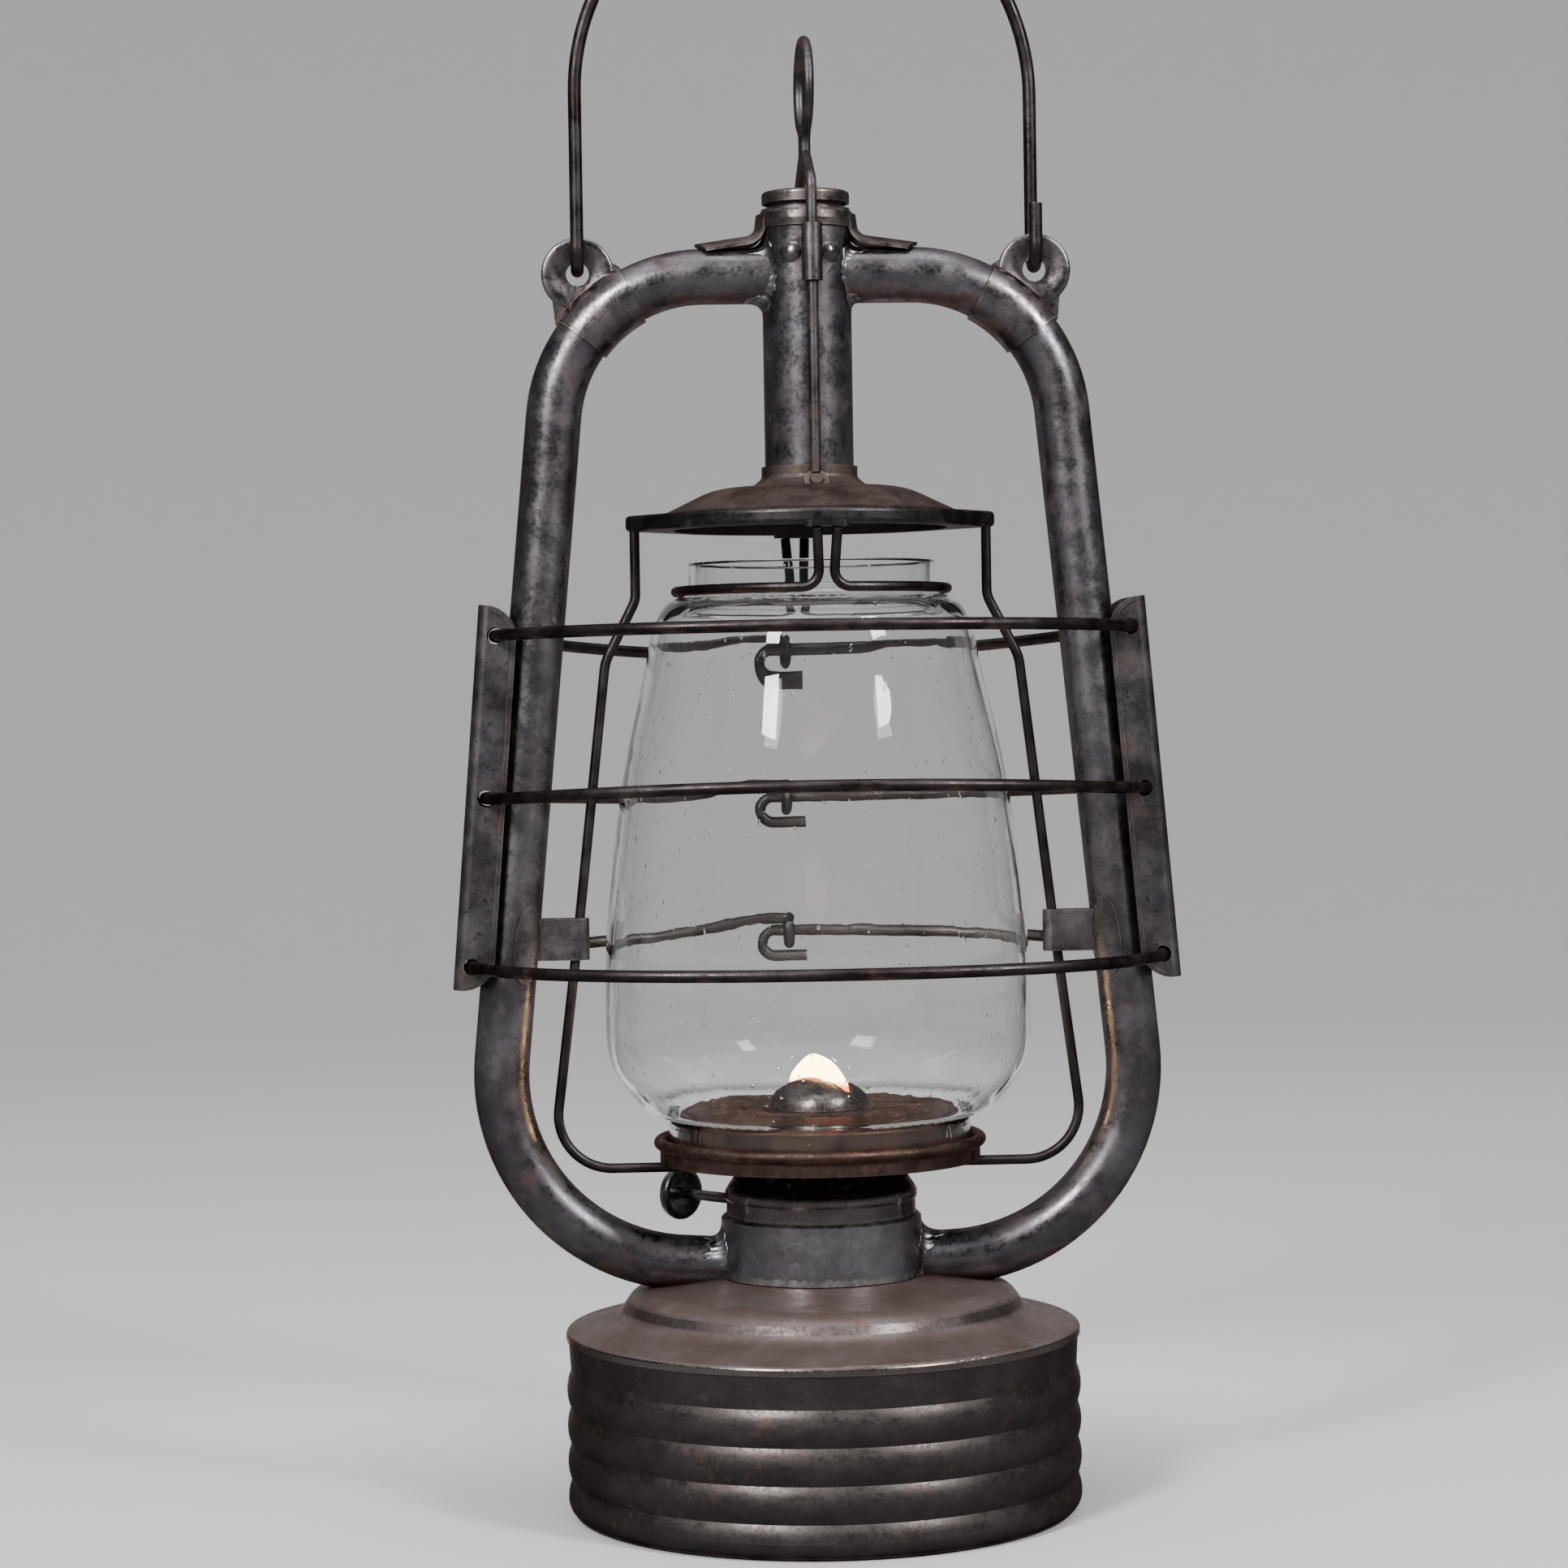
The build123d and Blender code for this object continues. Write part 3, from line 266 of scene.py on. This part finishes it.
def dark_hem(look, colour, roughness):
    """The hood's rolled hem is darker and smoother than its top."""
    hem = look.band(look.height(), *hem_fade, 1.0, 0.0)
    colour = look.mix(look.math("MULTIPLY", hem, 0.8), colour, (0.050, 0.047, 0.052))
    return colour, look.math("SUBTRACT", roughness, look.math("MULTIPLY", hem, 0.17))


def sooty(look, colour, roughness):
    """Lamp black thickens towards the top of the burner."""
    soot = look.band(look.height(), *soot_fade)
    return look.mix(look.math("MULTIPLY", soot, 0.6), colour, SOOT), roughness


def soldered_foot(look, colour, roughness):
    """A thin uneven line of old solder runs round the foot of the collar."""
    drips = look.noise(0.0035, 5.0, 0.65, shift=6.0)
    foot = look.math("SUBTRACT", look.height(), look.math("MULTIPLY", drips, 0.0040))
    silver = look.band(foot, collar_low.z - 0.0008, collar_low.z - 0.0002, 1.0, 0.0)
    silver = look.math("MULTIPLY", silver, look.band(drips, 0.42, 0.60, 0.2, 0.85))
    return look.mix(silver, colour, TIN), roughness


def rusty_flats(look, colour, roughness):
    """Flat faces that look up have a skin of dull rust, and the bends are rubbed bare."""
    patches = look.noise(0.012, 6.0, 0.65, shift=15.0)
    flat = look.math("MULTIPLY", look.band(look.facing((0, 0, 1)), 0.50, 0.84),
                     look.band(patches, 0.32, 0.54, 0.60, 1.0))
    shade = look.mix(look.band(patches, 0.38, 0.62), (0.058, 0.041, 0.037), (0.052, 0.028, 0.021))
    colour = look.mix(look.math("MULTIPLY", flat, 0.8), colour, shade)
    bare = look.math("SUBTRACT", 1.0, look.math("MULTIPLY", flat, 0.75))
    look.feed(look.shader.inputs["Metallic"], bare)
    return colour, look.math("ADD", roughness, look.math("MULTIPLY", flat, 0.16))


def japanned(name):
    """Glossy black enamel with chips down to brown metal."""
    look = Look(name, Coat_Weight=0.6, Coat_Roughness=0.12)
    chips = look.noise(0.0022, 4.0, 0.6, shift=2.0)
    bare = look.math("MULTIPLY", look.band(chips, 0.62, 0.66), 0.9)
    worn = look.math("MAXIMUM", bare, look.math("MULTIPLY", look.edge(0.0004), 0.5))
    colour = look.mix(worn, (0.006, 0.006, 0.006), (0.10, 0.075, 0.06))
    look.bump((chips, 0.00008))
    return look.paint(colour, look.band(chips, 0.3, 0.7, 0.22, 0.38))


def clear_glass(name):
    """Old blown glass: clear, wavy, with seeds, and it lets lamps shine through."""
    look = Look(name, Transmission_Weight=1.0, IOR=1.47)
    waves = look.noise(0.026, 2.0, 0.4, (1, 1, 2.2))
    seeds = look.noise(0.0018, 1.0, 0.4, (1, 1, 1.6), 5.0)
    haze = look.noise(0.010, 6.0, 0.7, shift=2.2)
    look.bump((waves, 0.0006), (look.band(seeds, 0.74, 0.80), 0.0001))
    colour = look.mix(look.band(haze, 0.45, 0.80), (0.992, 0.997, 0.994), (0.972, 0.978, 0.970))
    look.paint(colour, look.band(haze, 0.62, 0.80, 0.0, 0.03))
    look.see_through("Is Shadow Ray", (0.94, 0.96, 0.95))
    return look.material


def woven_wick(name):
    """Flat woven cotton, brown with oil and charred at the top."""
    look = Look(name)
    threads = look.tree.nodes.new("ShaderNodeTexWave")
    threads.bands_direction = "Z"
    threads.inputs["Scale"].default_value = 260.0
    threads.inputs["Distortion"].default_value = 1.5
    look.feed(threads.inputs["Vector"], look.place)
    weave = threads.outputs["Fac"]
    burnt = look.band(look.height(), *char_fade)
    colour = look.mix(weave, (0.30, 0.24, 0.16), (0.52, 0.45, 0.33))
    colour = look.mix(burnt, colour, (0.012, 0.010, 0.009))
    look.bump((weave, 0.0003))
    return look.paint(colour, 0.9)


def cork(name):
    """Cork with dark grains."""
    look = Look(name)
    grains = look.noise(0.0014, 4.0, 0.7)
    colour = look.mix(look.band(grains, 0.4, 0.7), (0.42, 0.26, 0.14), (0.16, 0.09, 0.05))
    look.bump((grains, 0.0002))
    return look.paint(colour, 0.85)


materials = {
    "tube_steel": old_steel(
        "tube_steel", (0.225, 0.208, 0.226), (0.128, 0.112, 0.122), stain_start=0.58,
        smooth=0.25, rough=0.41, pit=0.22, under_stain_and_shade=0.26),
    "collar_steel": old_steel(
        "collar_steel", (0.300, 0.282, 0.300), (0.190, 0.172, 0.182), stain_start=0.66,
        smooth=0.26, rough=0.42, pit=0.2, layer=soldered_foot),
    "solder": old_steel(
        "solder", (0.37, 0.36, 0.375), (0.15, 0.14, 0.145), stain_start=0.58, smooth=0.22,
        rough=0.44, pit=0.6),
    "fount_steel": old_steel(
        "fount_steel", (0.122, 0.106, 0.102), (0.092, 0.078, 0.075), (0.066, 0.044, 0.040), 0.66,
        smooth=0.36, rough=0.46, pit=0.3, under_stain_and_shade=0.05, worn=0.25, grain=(1, 1, 0.6), rust=0.25),
    "fount_top_steel": old_steel(
        "fount_top_steel", (0.280, 0.240, 0.232), (0.190, 0.150, 0.140), (0.125, 0.062, 0.046),
        0.62, smooth=0.20, rough=0.29, pit=0.12, rust=0.8, rim=(0.50, 0.42, 0.38), metal=0.95,
        layer=rusty_flats),
    "gallery_steel": old_steel(
        "gallery_steel", (0.230, 0.205, 0.205), (0.130, 0.112, 0.110), smooth=0.20, rough=0.38,
        pit=0.3, layer=sooty),
    "hood_steel": old_steel(
        "hood_steel", (0.130, 0.106, 0.096), (0.088, 0.068, 0.060), (0.085, 0.050, 0.038), 0.54,
        smooth=0.46, rough=0.64, pit=0.4, worn=0.25, rust=0.3, layer=dark_hem),
    "plate_rust": old_steel(
        "plate_rust", (0.122, 0.082, 0.070), (0.066, 0.041, 0.035), (0.090, 0.040, 0.025), 0.58,
        smooth=0.38, rough=0.64, pit=0.5, worn=0.35, rust=0.3, rim=(0.24, 0.17, 0.15)),
    "cap_rust": old_steel(
        "cap_rust", (0.205, 0.180, 0.172), (0.115, 0.090, 0.083), RUST, 0.60,
        smooth=0.25, rough=0.46, pit=0.5, rust=0.25, rim=(0.48, 0.43, 0.40)),
    # Painted highlight: strong pale worn rims along every edge stand in for edge highlights, on
    # top of real wear.
    "bright_band": old_steel(
        "bright_band", (0.270, 0.245, 0.255), (0.125, 0.105, 0.105), (0.080, 0.045, 0.034), 0.60,
        smooth=0.20, rough=0.40, pit=0.45, worn=0.9, rim=(0.56, 0.50, 0.46)),
    "cone_steel": old_steel(
        "cone_steel", (0.150, 0.130, 0.126), (0.095, 0.075, 0.070), (0.090, 0.045, 0.030), 0.62,
        smooth=0.24, rough=0.34, pit=0.15, worn=0.35),
    "wire_steel": old_steel(
        "wire_steel", (0.074, 0.063, 0.063), (0.036, 0.028, 0.027), smooth=0.30, rough=0.50,
        pit=0.4, worn=0.4),
    "guard_steel": old_steel(
        "guard_steel", (0.150, 0.140, 0.152), (0.080, 0.068, 0.068), (0.072, 0.045, 0.034), 0.54,
        smooth=0.32, rough=0.50, pit=0.6, rim=(0.34, 0.25, 0.19)),
    "spur_brass": old_steel("spur_brass", (0.42, 0.30, 0.12), (0.18, 0.12, 0.05)),
    "knob_black": japanned("knob_black"),
    "globe_glass": clear_glass("globe_glass"),
    "wick_cotton": woven_wick("wick_cotton"),
    "cork": cork("cork"),
}
finish_of = {
    "tube_cap": "cap_rust",
    "top_saddle": "cap_rust",
    "bail_ear_right": "bright_band",
    "bail_ear_left": "bright_band",
    "guide_rivets": "bright_band",
    # The lift guides take the painted edge highlight so that their plate outlines show.
    "lift_guide_front": "bright_band",
    "lift_guide_rear": "bright_band",
    "wire_guide_right": "bright_band",
    "wire_guide_left": "bright_band",
    "lift_wire": "guard_steel",
}


def dress(piece, finish):
    """Give a piece one of the materials."""
    piece.data.materials.clear()
    piece.data.materials.append(materials[finish])


for part in frame["record"]["subparts"]:
    dress(nodes[part["node"]], finish_of.get(part["node"], part["material_slot"]))


# ---- solder ------------------------------------------------------------------
SOLDER_SUNK = 0.0004                        # how far a run's back sits inside the metal
SOLDER_CREST = 0.00035                      # unevenness of its crest
SOLDER_REACH = 0.0034                       # usual width of a run on the tube


def surface(name):
    """Search tree over the surface of a CAD node."""
    mesh = nodes[name].data
    points = [v.co.copy() for v in mesh.vertices]
    return BVHTree.FromPolygons(points, [list(p.vertices) for p in mesh.polygons])


def new_piece(name, points, faces, body, material):
    """Closed smooth mesh that rides on a body."""
    mesh = smooth_mesh(name, points, faces)
    mesh.materials.append(materials[material])
    piece = add_object(name, mesh)
    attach(piece, body)


def uneven(seed, place, size):
    """Noise from -1 to 1 at a place, in blots of the given size in metres."""
    return noise.noise(Vector(place) / size + Vector((seed, 0, 0)))


def meeting_point(start, first, second):
    """Point near start that lies on both surfaces, found by going to and fro."""
    point = start
    for _ in range(12):
        point = first.find_nearest(point)[0]
        point = second.find_nearest(point)[0]
    return point


def solder_run(name, axis_point, axis, post, tube, angles, reach, seed, closed):
    """Run of solder in the corner where a tube meets a post.

    axis_point and axis give the tube's axis, outward from the post, and angles go
    round it, in degrees; reach is the run's width in metres. The run is a solid
    rope whose section is a hollow fillet with its back in the corner, and it is
    a full ring when closed is true.
    """
    count, arc = 120 if closed else 72, 7   # sections along the run, points on its face
    upward = Vector((0, 0, 1))
    sideways = axis.cross(upward).normalized()
    overhead = sideways.cross(axis)
    points, faces = [], []
    for k in range(count):
        share = k / (count if closed else count - 1)
        angle = radians(angles[0] + (angles[1] - angles[0]) * share)
        spoke = sideways * cos(angle) + overhead * sin(angle)
        corner = meeting_point(axis_point + spoke * tube_r, tube, post)
        ends = 1.0 if closed else min(1.0, 6 * share, 6 * (1 - share)) + 0.05
        swell = 1.2 + 1.5 * uneven(seed, corner, 0.0042) + 0.7 * uneven(seed + 5, corner, 0.0012)
        along = corner + axis * reach * ends * max(0.25, swell)
        swell = 1 + 0.9 * uneven(seed + 9, corner, 0.0034) + 0.5 * uneven(seed + 2, corner, 0.0012)
        beside = corner + spoke * reach * 0.8 * ends * max(0.25, swell)
        foot = tube.find_nearest(along)[0]
        head = post.find_nearest(beside)[0]
        crown = corner + (axis + spoke) * SOLDER_CREST * uneven(seed + 3, corner, 0.0009)
        for i in range(arc):
            t = i / (arc - 1)
            points.append(foot * (1 - t) ** 2 + crown * 2 * t * (1 - t) + head * t * t)
        points.append(corner - (axis + spoke) * SOLDER_SUNK)
    ring = arc + 1
    for k in range(count if closed else count - 1):
        here, there = k * ring, (k + 1) % count * ring
        for i in range(ring):
            j = (i + 1) % ring
            faces.append((here + i, here + j, there + j, there + i))
    if not closed:
        faces.append(tuple(reversed(range(ring))))
        faces.append(tuple(range((count - 1) * ring, count * ring)))
    new_piece(name, points, faces, "frame", "solder")


post_surface = surface("centre_tube")
collar_surface = surface("collar")
for side, word in ((1, "right"), (-1, "left")):
    outward = Vector((side, 0, 0))
    tube_surface = surface("side_tube_" + word)
    reach = SOLDER_REACH - 0.0006 * side    # the left run is the wider one
    solder_run("solder_top_" + word, Vector((side * post_r, 0, tube_top_z)), outward,
               post_surface, tube_surface, (0, 360), reach, 11 + side, True)
    low, high = low_tube_axis
    slope = (high - low).normalized()
    slope.x *= side
    start = Vector((side * collar_high.x, 0, low.z + (collar_high.x - low.x) * slope.z))
    solder_run("solder_collar_" + word, start, slope, collar_surface, tube_surface,
               (-14, 194), SOLDER_REACH, 31 + side, False)


# ---- stage -------------------------------------------------------------------
AIM = Vector((-0.0077, 0.0, 0.1836))        # what the camera looks at
CAMERA_AWAY = 0.983
CAMERA_SIDE = radians(-3.0)
CAMERA_HEIGHT = 0.207
CAMERA_ROLL = 0.016                         # radians
CAMERA_LENS = 89.4                          # millimetres
LAMPS_AIM = Vector((0, 0, 0.2))


def direction(azimuth, elevation=0.0):
    """Unit vector from the lantern; azimuth 0 is the front, 90 the right."""
    a, e = radians(azimuth), radians(elevation)
    return Vector((sin(a) * cos(e), -cos(a) * cos(e), sin(e)))


def make_camera():
    """The photograph's viewpoint."""
    camera = add_object("camera", bpy.data.cameras.new("camera"))
    camera.location = AIM + CAMERA_AWAY * Vector((sin(CAMERA_SIDE), -cos(CAMERA_SIDE), 0))
    camera.location.z = CAMERA_HEIGHT
    camera.rotation_mode = "QUATERNION"
    turn = (AIM - camera.location).to_track_quat("-Z", "Y")
    camera.rotation_quaternion = turn @ Quaternion((0, 0, 1), -CAMERA_ROLL)
    camera.data.lens = CAMERA_LENS
    camera.data.clip_start = 0.02
    camera.data.clip_end = 50
    bpy.context.scene.camera = camera


def make_softbox(name, azimuth, elevation, away, size, power):
    """Rectangular lamp of the given size in metres and power in watts."""
    light = bpy.data.lights.new(name, "AREA")
    light.shape = "RECTANGLE"
    light.size, light.size_y = size
    light.energy = power
    box = add_object(name, light)
    box.location = LAMPS_AIM + away * direction(azimuth, elevation)
    box.rotation_mode = "QUATERNION"
    box.rotation_quaternion = (LAMPS_AIM - box.location).to_track_quat("-Z", "Y")
    box.visible_camera = False


def make_room():
    """Round pale floor that curves up into a wall all round."""
    radius, curve_r, height, steps = 3.4, 1.9, 3.0, 24
    outline = [(0.0, 0.0), (0.6, 0.0)]
    for i in range(steps + 1):
        turn = i / steps * pi / 2
        outline.append((radius - curve_r + curve_r * sin(turn), curve_r * (1 - cos(turn))))
    outline.append((radius, height))
    turned("room", outline, 96, (0.66, 0.65, 0.635))


def turned(name, outline, turns, colour, gap=0):
    """Staged smooth sheet of revolution from a (radius, height) outline.

    gap is the number of segments left out at the rear.
    """
    points, faces = [], []
    for r, z in outline:
        for k in range(turns):
            a = 2 * pi * (k + gap / 2) / turns + pi / 2
            points.append((r * cos(a), r * sin(a), z))
    for row in range(len(outline) - 1):
        for k in range(turns - gap):
            a, b = row * turns + k, row * turns + (k + 1) % turns
            faces.append((a, b, b + turns, a + turns))
    look = Look(name)
    sheet = add_object(name, smooth_mesh(name, points, faces))
    sheet.data.materials.append(look.paint(colour, 0.9))
    return sheet, look


def make_flags():
    """Dark cloths round the lantern, open behind it, that show only in reflections."""
    outline = [(0.001, 0.001), (1.2, 0.001), (2.3, 0.05), (2.5, 0.4), (2.5, 2.1)]
    flags, look = turned("flags", outline, 64, (0.13, 0.13, 0.135), gap=12)
    flags.visible_camera = False
    flags.visible_diffuse = False
    flags.visible_shadow = False
    look.see_through("Glossy Depth", (1, 1, 1), reverse=True)


def make_world():
    """Soft bluish light from all round."""
    world = bpy.data.worlds.new("world")
    bpy.context.scene.world = world
    world.use_nodes = True
    background = world.node_tree.nodes["Background"]
    background.inputs["Color"].default_value = (0.92, 0.96, 1.0, 1.0)
    background.inputs["Strength"].default_value = 0.62


def flame_mesh(along, across):
    """Flat flame over the cone's slot, from a listed outline."""
    half_width, half_thick, rows = 0.0104, 0.0016, 10
    # (share of the half width, foot and crown against the cone's top in millimetres)
    outline = [(-1.0, -3.4, -1.6), (-0.8, -2.6, 2.2), (-0.55, -1.8, 4.7), (-0.3, -1.2, 6.1),
               (-0.1, -1.0, 6.6), (0.15, -1.1, 6.0), (0.4, -1.6, 4.8), (0.62, -2.4, 3.2),
               (0.8, -3.4, 1.1), (0.93, -4.4, -1.2), (1.0, -5.0, -3.6)]
    points, faces = [], []
    for share, foot, crown in outline:
        for i in range(2 * rows):
            t = i / rows if i <= rows else (2 * rows - i) / rows
            depth = half_thick * (1 - 0.75 * t) * sqrt(max(0.05, 1 - share * share))
            side = 0.0 if i in (0, rows) else (1.0 if i < rows else -1.0)
            height = cone_top + 0.001 * (foot + (crown - foot) * t)
            place = along * half_width * share + across * depth * side
            points.append(Vector((place.x, place.y, height)))
    ring = 2 * rows
    for k in range(len(outline) - 1):
        for i in range(ring):
            j = (i + 1) % ring
            here, there = k * ring, (k + 1) * ring
            faces.append((here + i, there + i, there + j, here + j))
    faces.append(tuple(range(ring)))
    faces.append(tuple(reversed(range((len(outline) - 1) * ring, len(outline) * ring))))
    return smooth_mesh("flame", points, faces)


def make_flame():
    """The staged flame, which stands along the slot of the cone."""
    along = -Vector((cos(wick_angle), sin(wick_angle), 0))     # towards the front right
    across = Vector((-along.y, along.x, 0))
    flame = add_object("flame", flame_mesh(along, across))
    smooth = flame.modifiers.new("smooth", "SUBSURF")
    smooth.levels = smooth.render_levels = 2
    look = Look("flame", Base_Color=(0, 0, 0, 1), Emission_Strength=26)
    warm = look.band(look.height(), cone_top - 0.0030, cone_top + 0.0010)
    glow = look.mix(warm, (0.20, 0.035, 0.003), (1.0, 0.70, 0.34))
    look.feed(look.shader.inputs["Emission Color"], glow)
    flame.data.materials.append(look.material)


def make_flame_light():
    """Lamplight that the flame gives, left out of reflections and of the glass."""
    lamp = bpy.data.lights.new("flame_light", "POINT")
    lamp.color = (1.0, 0.42, 0.12)
    lamp.energy = 0.05
    lamp.shadow_soft_size = 0.004
    glow_point = add_object("flame_light", lamp)
    glow_point.location = (0.001, -0.001, cone_top + 0.009)
    glow_point.visible_camera = False
    glow_point.visible_transmission = False
    glow_point.visible_glossy = False


make_camera()
make_softbox("softbox_left", -33, 33, 1.5, (0.24, 0.56), 24)
make_softbox("softbox_right", 45, 33, 1.5, (0.24, 0.56), 18)
make_softbox("softbox_top", 0, 85, 1.8, (1.2, 1.2), 9)
make_room()
make_flags()
make_world()
make_flame()
make_flame_light()
